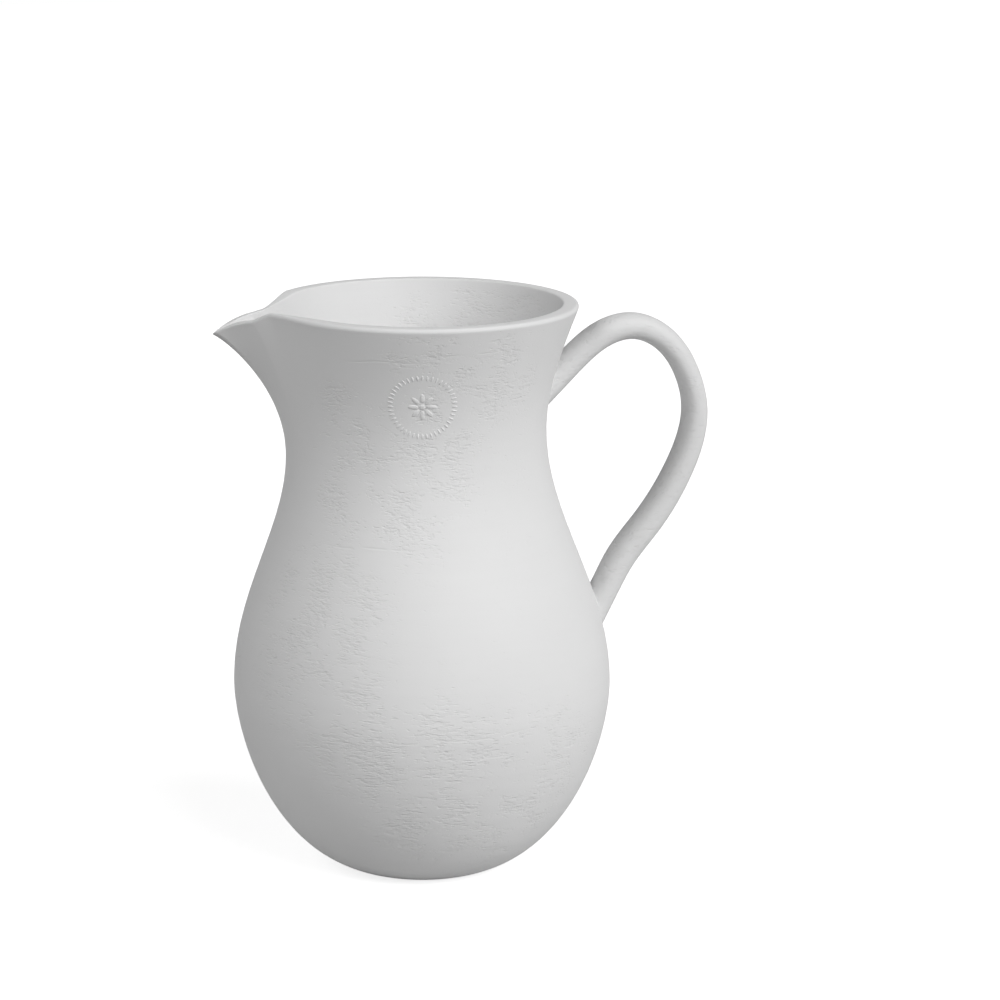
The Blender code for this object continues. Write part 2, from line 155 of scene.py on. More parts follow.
# Rosette pressed on the neck; sizes are half length, half width and height
SEAL_HEIGHT = 0.2152
SEAL_TURN = math.radians(-10.5)
SEAL_RADIUS = 0.0130
SEAL_TICKS = 44
SEAL_PETALS = 8
PETAL_RING_SHARE = 0.29
TICK_SIZE = (0.0012, 0.00042, 0.00028)
PETAL_SIZE = (0.0021, 0.00095, 0.00034)
BOSS_SIZE = (0.0012, 0.0012, 0.00038)
BOSS_BEADS = 3
BOSS_SPREAD = 0.00001
BEAD_SEGMENTS = 12
BEAD_RINGS = 8
RAY_START = 0.2
RAY_LENGTH = 0.3

# Rows and columns of the finished wall
COLUMNS = 300
FOOT_ROWS = 8
FOOT_EDGE_STEPS = 5
BOWL_SAMPLES = 2000
LOWER_ROWS = 84
MIDDLE_ROWS = 96
UPPER_ROWS = 48
UPPER_CROWDING = 1.4
LIP_STEPS = 9
INNER_LIP_STEPS = 6
INNER_UPPER_ROWS = 30
INNER_MIDDLE_ROWS = 26
INNER_LOWER_ROWS = 24
WELD = 1e-6

PULL_NAMES = ("pinch_outer", "flank_outer", "swell_outer", "pinch_inner", "flank_inner", "swell_inner")

# Relief of the thrown surface: spiral rings, hand-smoothed waves and wiping wrinkles
RING_HEIGHT = 0.00020
RING_PITCH = 0.0075
OUTSIDE_RING_SHARE = 0.15
ALL_INSIDE = 0.999
RINGS_BELOW_LIP = (0.012, 0.045)
RINGS_ABOVE_FOOT = (0.003, 0.012)
RING_PATCH_SCALE = 22.0
WAVE_HEIGHT = 0.0002
WAVE_SCALE = 14.0
WRINKLE_HEIGHT = 0.00016
WALL_STRETCH = (42.0, 42.0, 200.0)
STRAP_STRETCH = (160.0, 160.0, 160.0)

# Creased patches as turn from the front, height and radius, and long scratches as turn, height,
# tilt and half length
CREASE_SPOTS = (
    (-24.0, 0.1800, 0.028), (-2.0, 0.1830, 0.026), (-12.0, 0.1640, 0.022), (-46.0, 0.1330, 0.026),
    (-36.0, 0.1180, 0.032), (-22.0, 0.1380, 0.018), (-40.0, 0.0980, 0.030), (-24.0, 0.0820, 0.032),
    (-16.0, 0.0660, 0.036), (4.0, 0.0600, 0.038), (26.0, 0.0500, 0.038), (-2.0, 0.0420, 0.034),
    (42.0, 0.0600, 0.030), (28.0, 0.0340, 0.030), (30.0, 0.2240, 0.026), (14.0, 0.2100, 0.022),
    (22.0, 0.2400, 0.022), (-2.0, 0.2400, 0.016), (-34.0, 0.2120, 0.018), (165.0, 0.2380, 0.032),
    (150.0, 0.2340, 0.034), (132.0, 0.2320, 0.026),
    (96.0, 0.0600, 0.036), (130.0, 0.0420, 0.036), (165.0, 0.0900, 0.034), (195.0, 0.1250, 0.030),
    (230.0, 0.0550, 0.038), (265.0, 0.0900, 0.032),
)
SCRATCHES = (
    (-22.0, 0.1545, 0.00, 0.024), (10.0, 0.0775, 0.06, 0.038), (-12.0, 0.2345, 0.00, 0.026),
    (20.0, 0.2385, 0.03, 0.020), (150.0, 0.1100, 0.02, 0.030),
)

# Creased patches: where one fades, as shares of its radius, how far below the rim they begin, the
# noise that breaks them up, and the two grains of dents in them as stretch and depth
PATCH_FADE = (1.45, 0.5)
CREASES_BELOW_RIM = (0.0010, 0.0045)
PATCH_SCALE = 75.0
PATCH_LEVELS = (0.24, 0.68)
DENT_GRAINS = (((150.0, 150.0, 620.0), 0.55), ((300.0, 300.0, 1050.0), 0.9))
DENT_LEVEL = 0.70
DENT_GAIN = 0.26
DENT_SOFTNESS = 0.15

# Scratches: depth, half width where they end and begin, wobble and where they break off
SCRATCH_DEPTH = 0.7
SCRATCH_WIDTHS = (0.0006, 0.0001)
SCRATCH_WOBBLE = 0.004
WOBBLE_SCALE = 40.0
BREAK_SCALE = 110.0
BREAK_LEVELS = (0.38, 0.56)

# Noises of the clay itself, and how much each adds to its tone, roughness and height
MOTTLE_SCALE = 18.0
STREAK_STRETCH = (38.0, 38.0, 620.0)
GRAIN_SCALE = 1500.0
GRAIN_HEIGHT = 0.10
PIT_SCALE = 520.0
PIT_LEVELS = (0.36, 0.28)
PIT_PATCH_SCALE = 60.0
PIT_PATCH_LEVELS = (0.48, 0.62)
TONE_LEVEL = 0.35
MOTTLE_TONE = 0.6
STREAK_TONE = 1.2
# Darkens the colour in the pits: painted shade in the hollows
PAINTED_PIT_SHADE = 0.5
# Darkens the colour in the crease and scratch dents: painted shade in the hollows
PAINTED_DENT_SHADE = 0.12
ROUGHNESS = 0.80
ROUGHNESS_SPREAD = 0.18

# Finishes as light and dark tone, depth of the bump, and values of the clay's pattern
FINISHES = {
    "body_clay": (0.78, 0.71, 0.00022, {"Streaks": 0.10, "Creases": 0.50, "Crease Spread": 0.05,
                                        "Wrap": 1.0, "Pits": 0.12}),
    # The handle and joint slip tones are darker copies of the body clay: painted shade on the handle and
    # round its joints
    "handle_clay": (0.76, 0.69, 0.00018, {"Streaks": 0.10, "Creases": 0.6, "Crease Spread": 0.55,
                                          "Wrap": 0.0, "Pits": 0.6}),
    "joint_slip": (0.74, 0.67, 0.00018, {"Streaks": 0.10, "Creases": 0.6, "Crease Spread": 0.4,
                                         "Wrap": 0.0, "Pits": 0.4}),
}
SHEEN = 0.35
TONE_INPUTS = ("Color", "Light Tone", "Dark Tone")

# Camera of the photograph
VIEW_TURN = math.radians(-10.5)
VIEW_RISE = math.radians(14.155)
VIEW_DISTANCE = 1.65
VIEW_LENS = 135.79
VIEW_SHIFT = (0.07765, 0.08405)
SENSOR_WIDTH = 36.0
VIEW_END = 20.0

# Floor, room light, and lamps as name, turn, rise, softness in degrees and strength
FLOOR_HALF = 4.0
FLOOR_TONE = 0.54
FLOOR_GLOW = 0.80
FILL_LEVEL = 0.12
LAMPS = (
    ("key", 19.5, 38.0, 28.0, 1.15),
    ("side", 49.5, 30.0, 34.0, 1.40),
    ("back_left", -70.5, 40.0, 34.0, 0.84),
)


def blend(height, low, high):
    """Radius at a height between two stations of height, radius, slope and curvature."""
    z0, r0, s0, k0 = low
    z1, r1, s1, k1 = high
    rise = z1 - z0
    u = (height - z0) / rise
    u2 = u * u
    u3 = u2 * u
    u4 = u3 * u
    u5 = u4 * u
    start = 1 - 10 * u3 + 15 * u4 - 6 * u5
    start_slope = u - 6 * u3 + 8 * u4 - 3 * u5
    start_bend = (u2 - 3 * u3 + 3 * u4 - u5) / 2
    end_slope = -4 * u3 + 7 * u4 - 3 * u5
    end_bend = (u3 - 2 * u4 + u5) / 2
    return (start * r0 + start_slope * s0 * rise + start_bend * k0 * rise ** 2
            + (1 - start) * r1 + end_slope * s1 * rise + end_bend * k1 * rise ** 2)


def bowl(turn, radius, top, bottom):
    """Lower curve of the wall; turn runs from 0 at the belly to 90 degrees at the bottom."""
    r = radius - BELLY_SWEEP * (1 - np.cos(turn) ** (2 / BELLY_ROUNDNESS))
    z = top - (top - bottom) * np.sin(turn) ** (2 / FOOT_ROUNDNESS)
    return r, z


def crowded(low, high, count):
    """Values from low to high that lie closer together near high."""
    share = 1 - np.linspace(1, 0, count) ** UPPER_CROWDING
    return low + (high - low) * share


def even_steps(r, z, count):
    """The same curve with points at even distances along it."""
    steps = np.hypot(np.diff(r), np.diff(z))
    along = np.concatenate([[0.0], np.cumsum(steps)])
    at = np.linspace(0, along[-1], count)
    return np.interp(at, along, r), np.interp(at, along, z)


def outside_rows():
    """Radius, share across the lip and height, from the middle of the foot to the lip."""
    flare = np.arctan(LIP_FLARE)
    corner = LIP_RADIUS - LIP_OUTER_ROUND
    lip_start = (HEIGHT - LIP_OUTER_ROUND * (1 + np.sin(flare)),
                 corner + LIP_OUTER_ROUND * np.cos(flare), LIP_FLARE, 1 / LIP_BEND_RADIUS)
    depth = BELLY_HEIGHT + FOOT_CUT
    belly = (BELLY_HEIGHT, BELLY_RADIUS, 0.0, -BELLY_SWEEP / depth ** 2)
    neck = (NECK_HEIGHT, NECK_RADIUS, 0.0, 1 / NECK_BEND_RADIUS)
    foot_turn = np.arcsin((BELLY_HEIGHT / depth) ** (FOOT_ROUNDNESS / 2))
    r1, z1 = bowl(np.linspace(foot_turn, 0, BOWL_SAMPLES), BELLY_RADIUS, BELLY_HEIGHT, -FOOT_CUT)
    foot = r1[0]
    start = np.argmax(r1 > foot + FOOT_EDGE_ROUND)
    r1, z1 = even_steps(r1[start:], z1[start:], LOWER_ROWS)
    edge = np.linspace(0, 1, FOOT_EDGE_STEPS)[:, None] ** np.ones(2)
    round_in = ((1 - edge) ** 2 * (foot - FOOT_EDGE_ROUND, 0.0)
                + 2 * edge * (1 - edge) * (foot, 0.0) + edge ** 2 * (r1[0], z1[0]))[:-1]
    r0 = np.linspace(0, foot - FOOT_EDGE_ROUND, FOOT_ROWS)[:-1]
    z2 = np.linspace(BELLY_HEIGHT, NECK_HEIGHT, MIDDLE_ROWS)[1:]
    z3 = crowded(NECK_HEIGHT, lip_start[0], UPPER_ROWS)[1:]
    turn = np.linspace(-flare, np.pi / 2, LIP_STEPS + 1)[1:]
    r4 = corner + LIP_OUTER_ROUND * np.cos(turn)
    z4 = HEIGHT - LIP_OUTER_ROUND * (1 - np.sin(turn))
    r = np.concatenate([r0, round_in[:, 0], r1, blend(z2, belly, neck), blend(z3, neck, lip_start), r4])
    z = np.concatenate([0 * r0, round_in[:, 1], z1, z2, z3, z4])
    across = np.zeros_like(r)
    across[-LIP_STEPS:] = np.where(turn > 0, (LIP_RADIUS - r4) / LIP_WIDTH, 0.0)
    return r, across, z


def inside_rows():
    """Radius, share across the lip and height, from the lip to the middle of the inner floor."""
    flare = np.arctan(LIP_FLARE)
    lip_inside = LIP_RADIUS - LIP_WIDTH
    corner = lip_inside + LIP_INNER_ROUND
    turn = np.linspace(np.pi / 2, np.pi - flare, INNER_LIP_STEPS + 1)
    r1 = corner + LIP_INNER_ROUND * np.cos(turn)
    z1 = HEIGHT - LIP_INNER_ROUND * (1 - np.sin(turn))
    depth = BELLY_HEIGHT - FLOOR_THICKNESS
    belly = (BELLY_HEIGHT, BELLY_RADIUS - WALL_THICKNESS, 0.0, -BELLY_SWEEP / depth ** 2)
    neck = (NECK_HEIGHT, NECK_RADIUS - WALL_THICKNESS, 0.0, 1 / NECK_BEND_RADIUS)
    lip_end = (z1[-1], r1[-1], LIP_FLARE, 1 / LIP_BEND_RADIUS)
    z2 = crowded(NECK_HEIGHT, z1[-1], INNER_UPPER_ROWS)[-2::-1]
    z3 = np.linspace(NECK_HEIGHT, BELLY_HEIGHT, INNER_MIDDLE_ROWS)[1:]
    r4, z4 = bowl(np.linspace(0, np.pi / 2, BOWL_SAMPLES), BELLY_RADIUS - WALL_THICKNESS,
                  BELLY_HEIGHT, FLOOR_THICKNESS)
    r4, z4 = even_steps(np.append(r4, 0.0), np.append(z4, FLOOR_THICKNESS), INNER_LOWER_ROWS)
    r = np.concatenate([r1, blend(z2, neck, lip_end), blend(z3, belly, neck), r4[1:]])
    z = np.concatenate([z1, z2, z3, z4[1:]])
    across = np.ones_like(r)
    across[:len(r1)] = np.minimum((LIP_RADIUS - r1) / LIP_WIDTH, 1.0)
    return r, across, z


def span(u, p0, p1, m0, m1):
    """Cubic piece between two points with their pulls."""
    u = u[:, None]
    u2 = u * u
    u3 = u2 * u
    return ((2 * u3 - 3 * u2 + 1) * p0 + (u3 - 2 * u2 + u) * m0
            + (3 * u2 - 2 * u3) * p1 + (u3 - u2) * m1)


def unit(v):
    """The same direction with a length of 1."""
    return v / np.linalg.norm(v)


def rim_line(u, tip, beak, throat, slopes, radius):
    """Rim of the spout on one side, as reach, half width and height above the rim plane."""
    join = radius * np.array([np.cos(SPOUT_SPREAD), np.sin(SPOUT_SPREAD), 0.0])
    marks = (tip, beak, throat, join)
    ways = [unit(np.array([-1.0, spread, rise])) for spread, rise in slopes]
    ways.append(np.array([-np.sin(SPOUT_SPREAD), np.cos(SPOUT_SPREAD), 0.0]))
    reach = [np.linalg.norm(far - near) for near, far in zip(marks, marks[1:])]
    ends = np.concatenate([[0.0], np.cumsum(reach)]) / sum(reach)
    piece = np.searchsorted(ends[1:-1], u)
    line = np.zeros((len(u), 3))
    for i, (start_pull, end_pull) in enumerate(RIM_PULLS):
        part = piece == i
        line[part] = span((u[part] - ends[i]) / (ends[i + 1] - ends[i]), marks[i], marks[i + 1],
                          ways[i] * reach[i] * start_pull, ways[i + 1] * reach[i] * end_pull)
    return line


def spout_marks(easy):
    """Beak, throat and slopes of one side's rim line, and the same of the flank below it."""
    if easy:
        beak = np.array([EASY_BEAK_REACH, EASY_BEAK_HALF_WIDTH, -EASY_BEAK_DROP])
        throat = np.array([EASY_THROAT_REACH, EASY_THROAT_HALF_WIDTH, -EASY_THROAT_DROP])
        slopes = ((EASY_TIP_SPREAD_SLOPE, EASY_TIP_RISE), (EASY_BEAK_SPREAD_SLOPE, EASY_BEAK_RISE),
                  (EASY_THROAT_SPREAD_SLOPE, EASY_THROAT_RISE))
        return (beak, throat, slopes), (beak, throat, slopes)
    beak = np.array([BEAK_REACH, BEAK_HALF_WIDTH, -BEAK_DROP])
    throat = np.array([THROAT_REACH, THROAT_HALF_WIDTH, -THROAT_DROP])
    beak_rise = (BEAK_DROP - THROAT_DROP) / (BEAK_REACH - THROAT_REACH)
    slopes = ((TIP_SPREAD_SLOPE, TIP_RISE_SLOPE), (0.0, beak_rise),
              (THROAT_SPREAD_SLOPE, THROAT_RISE_SLOPE))
    flank_beak = np.array([BEAK_REACH, FLANK_BEAK_HALF_WIDTH, -BEAK_DROP])
    flank_throat = np.array([THROAT_REACH, FLANK_THROAT_HALF_WIDTH, -THROAT_DROP])
    flank_slopes = (slopes[0], slopes[1], (FLANK_SPREAD_SLOPE, THROAT_RISE_SLOPE))
    return (beak, throat, slopes), (flank_beak, flank_throat, flank_slopes)


def spout_pull(angle, radius, tip, step, easy):
    """How far each column moves: pinched rim, flanks below it, and the swell below those."""
    u = angle / SPOUT_SPREAD
    near = u <= 1
    circle = np.stack([radius * np.cos(angle), radius * np.sin(angle), 0 * angle], axis=1)
    pulls = []
    for beak, throat, slopes in spout_marks(easy):
        pull = np.zeros((len(angle), 3))
        pull[near] = rim_line(u[near], tip, beak + step, throat + step, slopes, radius) - circle[near]
        pulls.append(pull)
    swell = np.where(angle < SWELL_SPREAD, np.cos(np.pi * angle / (2 * SWELL_SPREAD)) ** 2, 0.0)
    pulls.append(swell[:, None] * np.array([tip[0] - radius, 0.0, tip[2]]))
    return np.stack(pulls)


def column_pulls():
    """Pull vectors of every column, outside and inside of the lip, in the part's axes."""
    turn = np.linspace(-np.pi, np.pi, COLUMNS + 1)
    angle = np.abs(turn)
    easy = (turn < 0)[:, None]
    tip = np.array([SPOUT_REACH, 0.0, -SPOUT_DROP])
    inner_tip = tip + np.array([-SPOUT_TIP_LIP, 0.0, SPOUT_TIP_DEPTH])
    inner_step = np.array([-SPOUT_LIP_SLANT, -SPOUT_LIP, 0.0])
    signs = np.stack([-np.ones_like(turn), np.where(turn < 0, -1.0, 1.0), np.ones_like(turn)], axis=1)
    pulls = []
    for radius, end, step in ((LIP_RADIUS, tip, np.zeros(3)),
                              (LIP_RADIUS - LIP_WIDTH, inner_tip, inner_step)):
        pulls.extend(np.where(easy, spout_pull(angle, radius, end, step, True),
                              spout_pull(angle, radius, end, step, False)) * signs)
    return turn, dict(zip(PULL_NAMES, pulls))


def wall_radius(height, gap):
    """Outside radius of the turned wall at a height, moved outward by a gap."""
    r, _, z = WALL_ROWS
    slope = np.gradient(r, z)
    length = np.sqrt(1 + slope ** 2)
    return np.interp(height, z - gap * slope / length, r + gap / length)


def natural_curve(knots, values, at):
    """Natural cubic curve through the values."""
    count = len(knots)
    step = np.diff(knots)
    matrix = np.eye(count)
    right = np.zeros_like(values)
    for i in range(1, count - 1):
        matrix[i, i - 1] = step[i - 1]
        matrix[i, i] = 2 * (step[i - 1] + step[i])
        matrix[i, i + 1] = step[i]
        rise = (values[i + 1] - values[i]) / step[i]
        right[i] = 6 * (rise - (values[i] - values[i - 1]) / step[i - 1])
    bend = np.linalg.solve(matrix, right)
    k = np.clip(np.searchsorted(knots, at) - 1, 0, count - 2)
    t = (at - knots[k])[:, None]
    h = step[k][:, None]
    first = (values[k + 1] - values[k]) / h - h * (2 * bend[k] + bend[k + 1]) / 6
    return values[k] + t * (first + t * (bend[k] / 2 + t * (bend[k + 1] - bend[k]) / (6 * h)))


def handle_stations(count):
    """Middle points and thickness along the handle, from the top root down."""
    line = np.array(HANDLE_LINE)
    steps = np.linalg.norm(np.diff(line, axis=0), axis=1)
    knots = np.concatenate([[0.0], np.cumsum(steps)])
    at = np.linspace(0, knots[-1], count)
    points = natural_curve(knots, line, at)
    marks = np.linspace(0, knots[-1], len(HANDLE_THICKNESS))
    thickness = natural_curve(marks, np.array(HANDLE_THICKNESS)[:, None], at)[:, 0]
    return points, thickness


class Tree:
    """A node tree with short calls for its sockets, nodes and sums."""

    def __init__(self, name, kind):
        self.tree = bpy.data.node_groups.new(name, kind)
        self.start = self.tree.nodes.new("NodeGroupInput")
        self.end = self.tree.nodes.new("NodeGroupOutput")

    def takes(self, name, value=None, kind="Float"):
        """Add an input."""
        socket = self.tree.interface.new_socket(name=name, in_out="INPUT", socket_type="NodeSocket" + kind)
        if value is not None:
            socket.default_value = value
        return self.start.outputs[name]

    def gives(self, name, source, kind="Float"):
        """Add an output and feed it."""
        self.tree.interface.new_socket(name=name, in_out="OUTPUT", socket_type="NodeSocket" + kind)
        self.tree.links.new(source, self.end.inputs[name])

    def node(self, kind, values=None, **settings):
        """Add a node with its settings and what its sockets hold."""
        made = self.tree.nodes.new(kind)
        for key, value in settings.items():
            setattr(made, key, value)
        for key, value in (values or {}).items():
            self.feed(made.inputs[key], value)
        return made

    def made(self, kind, values=None, **settings):
        """First output of a new node."""
        return self.node(kind, values, **settings).outputs[0]

    def feed(self, socket, value):
        """Link a socket to another, or give it a plain value."""
        if isinstance(value, bpy.types.NodeSocket):
            self.tree.links.new(value, socket)
        else:
            socket.default_value = value

    def sum(self, operation, *values, clamp=False):
        return self.made("ShaderNodeMath", dict(enumerate(values)), operation=operation, use_clamp=clamp)

    def times(self, first, *others):
        for other in others:
            first = self.sum("MULTIPLY", first, other)
        return first

    def plus(self, a, b, clamp=False):
        return self.sum("ADD", a, b, clamp=clamp)

    def minus(self, a, b):
        return self.sum("SUBTRACT", a, b)

    def over(self, a, b):
        return self.sum("DIVIDE", a, b)

    def scaled(self, vector, share):
        return self.made("ShaderNodeVectorMath", {0: vector, "Scale": share}, operation="SCALE")

    def moved(self, vector, by):
        return self.made("ShaderNodeVectorMath", {0: vector, 1: by}, operation="ADD")

    def stretched(self, vector, by):
        return self.made("ShaderNodeVectorMath", {0: vector, 1: by}, operation="MULTIPLY")

    def vector(self, x=0.0, y=0.0, z=0.0):
        return self.made("ShaderNodeCombineXYZ", {"X": x, "Y": y, "Z": z})

    def parts(self, vector):
        """The three numbers of a vector."""
        return self.node("ShaderNodeSeparateXYZ", {"Vector": vector}).outputs

    def here(self):
        """Where each point of the surface lies."""
        return self.made("GeometryNodeInputPosition")

    def outward(self):
        """Which way the surface faces."""
        return self.made("GeometryNodeInputNormal")

    def shape_of(self, body):
        """The surface of an object."""
        return self.node("GeometryNodeObjectInfo", {"Object": body}).outputs["Geometry"]

    def placed(self, geometry, **where):
        """A surface moved to a Position or by an Offset."""
        return self.made("GeometryNodeSetPosition", {"Geometry": geometry, **where})

    def welded(self, geometry):
        """A surface without the seams where its edges meet."""
        return self.made("GeometryNodeMergeByDistance", {"Geometry": geometry, "Distance": WELD})

    def noise(self, vector, scale, detail=2.0, roughness=0.5):
        return self.made("ShaderNodeTexNoise", {"Vector": vector, "Scale": scale, "Detail": detail,
                                                "Roughness": roughness})

    def centred(self, noise):
        """A noise that swings round 0."""
        return self.minus(noise, 0.5)

    def mix(self, factor, a, b, kind="VECTOR"):
        made = self.node("ShaderNodeMix", data_type=kind)
        first, second, result = {"VECTOR": (4, 5, 1), "RGBA": (6, 7, 2)}[kind]
        self.feed(made.inputs[0], factor)
        self.feed(made.inputs[first], a)
        self.feed(made.inputs[second], b)
        return made.outputs[result]

    def ramp(self, value, low, high):
        """0 at low, 1 at high and smooth between; low may be the larger of the two."""
        return self.made("ShaderNodeMapRange", {"Value": value, "From Min": low, "From Max": high},
                         interpolation_type="SMOOTHSTEP")


def put(name, data):
    """New object of the scene that holds a mesh, a lamp or a camera."""
    body = bpy.data.objects.new(name, data)
    bpy.context.scene.collection.objects.link(body)
    return body


def bake(tree, name, inputs):
    """Run a geometry tree and keep its result as a plain mesh object."""
    maker = put(name + "_maker", bpy.data.meshes.new(name))
    modifier = maker.modifiers.new("make", "NODES")
    modifier.node_group = tree
    for socket in tree.interface.items_tree:
        if socket.item_type == "SOCKET" and socket.in_out == "INPUT" and socket.name in inputs:
            modifier[socket.identifier] = inputs[socket.name]
    bpy.context.view_layer.update()
    seen = maker.evaluated_get(bpy.context.evaluated_depsgraph_get())
    mesh = bpy.data.meshes.new_from_object(seen)
    bpy.data.objects.remove(maker, do_unlink=True)
    mesh.name = name
    return put(name, mesh)


def guide(name, points, attributes=None):
    """Loose points, with the vectors they carry, that a geometry tree reads its stations from."""
    mesh = bpy.data.meshes.new(name)
    mesh.from_pydata([tuple(float(c) for c in p) for p in points], [], [])
    for key, vectors in (attributes or {}).items():
        layer = mesh.attributes.new(key, "FLOAT_VECTOR", "POINT")
        layer.data.foreach_set("vector", vectors.astype(np.float32).ravel())
    return put(name, mesh)


def sampled(t, geometry, value, index):
    """A vector read from one point of a guide."""
    return t.made("GeometryNodeSampleIndex", {"Geometry": geometry, "Value": value, "Index": index},
                  data_type="FLOAT_VECTOR", domain="POINT")


def named(t, name):
    """A vector that a guide's points carry."""
    return t.made("GeometryNodeInputNamedAttribute", {"Name": name}, data_type="FLOAT_VECTOR")


def on_wall(turn, height):
    """Point of the turned wall at a turn from the front and a height."""
    angle = math.radians(turn) + VIEW_TURN
    radius = float(wall_radius(np.array([height]), 0.0)[0])
    return (radius * math.sin(angle), -radius * math.cos(angle), height)


def distance(t, where, spot):
    """How far the surface lies from a fixed spot."""
    return t.node("ShaderNodeVectorMath", {0: where, 1: spot}, operation="DISTANCE").outputs["Value"]


def crease_cover(t, where):
    """1 in the middle of the creased patches, 0 between them, broken up by a noise."""
    cover = None
    none, full = PATCH_FADE
    for turn, height, radius in CREASE_SPOTS:
        near = t.ramp(distance(t, where, on_wall(turn, height)), none * radius, full * radius)
        cover = near if cover is None else t.sum("MAXIMUM", cover, near)
    below_rim = t.ramp(t.parts(where)[2], *(HEIGHT - drop for drop in CREASES_BELOW_RIM))
    broken = t.ramp(t.noise(where, PATCH_SCALE, 3.0), *PATCH_LEVELS)
    return t.times(cover, broken, below_rim)


def unit_grid(t, columns, rows):
    """Flat grid, with how far across and how far up each of its points lies, from 0 to 1."""
    grid = t.made("GeometryNodeMeshGrid", {"Size X": 1.0, "Size Y": 1.0,
                                           "Vertices X": columns, "Vertices Y": rows})
    x, y, _ = t.parts(t.here())
    return grid, t.plus(x, 0.5), t.plus(y, 0.5)


def station_at(t, share, count):
    """Number of the station at a share of the way along them."""
    return t.sum("ROUND", t.times(share, t.minus(count, 1.0)))


def with_relief(t, geometry, wave_height, wrinkle_height, share, stretch):
    """A surface with the waves and wrinkles of the clay laid over it."""
    relief = t.node("GeometryNodeGroup", node_tree=relief_tree)
    for name, value in (("Geometry", geometry), ("Wave Height", wave_height),
                        ("Wrinkle Height", wrinkle_height), ("Share", share), ("Stretch", stretch)):
        t.feed(relief.inputs[name], value)
    return relief.outputs[0]


def finished(t, geometry, clay):
    """The tree, ended with real geometry that carries its clay."""
    real = t.made("GeometryNodeRealizeInstances", {"Geometry": geometry})
    painted = t.made("GeometryNodeSetMaterial", {"Geometry": real, "Material": clay})
    t.gives("Geometry", painted, "Geometry")
    return t.tree


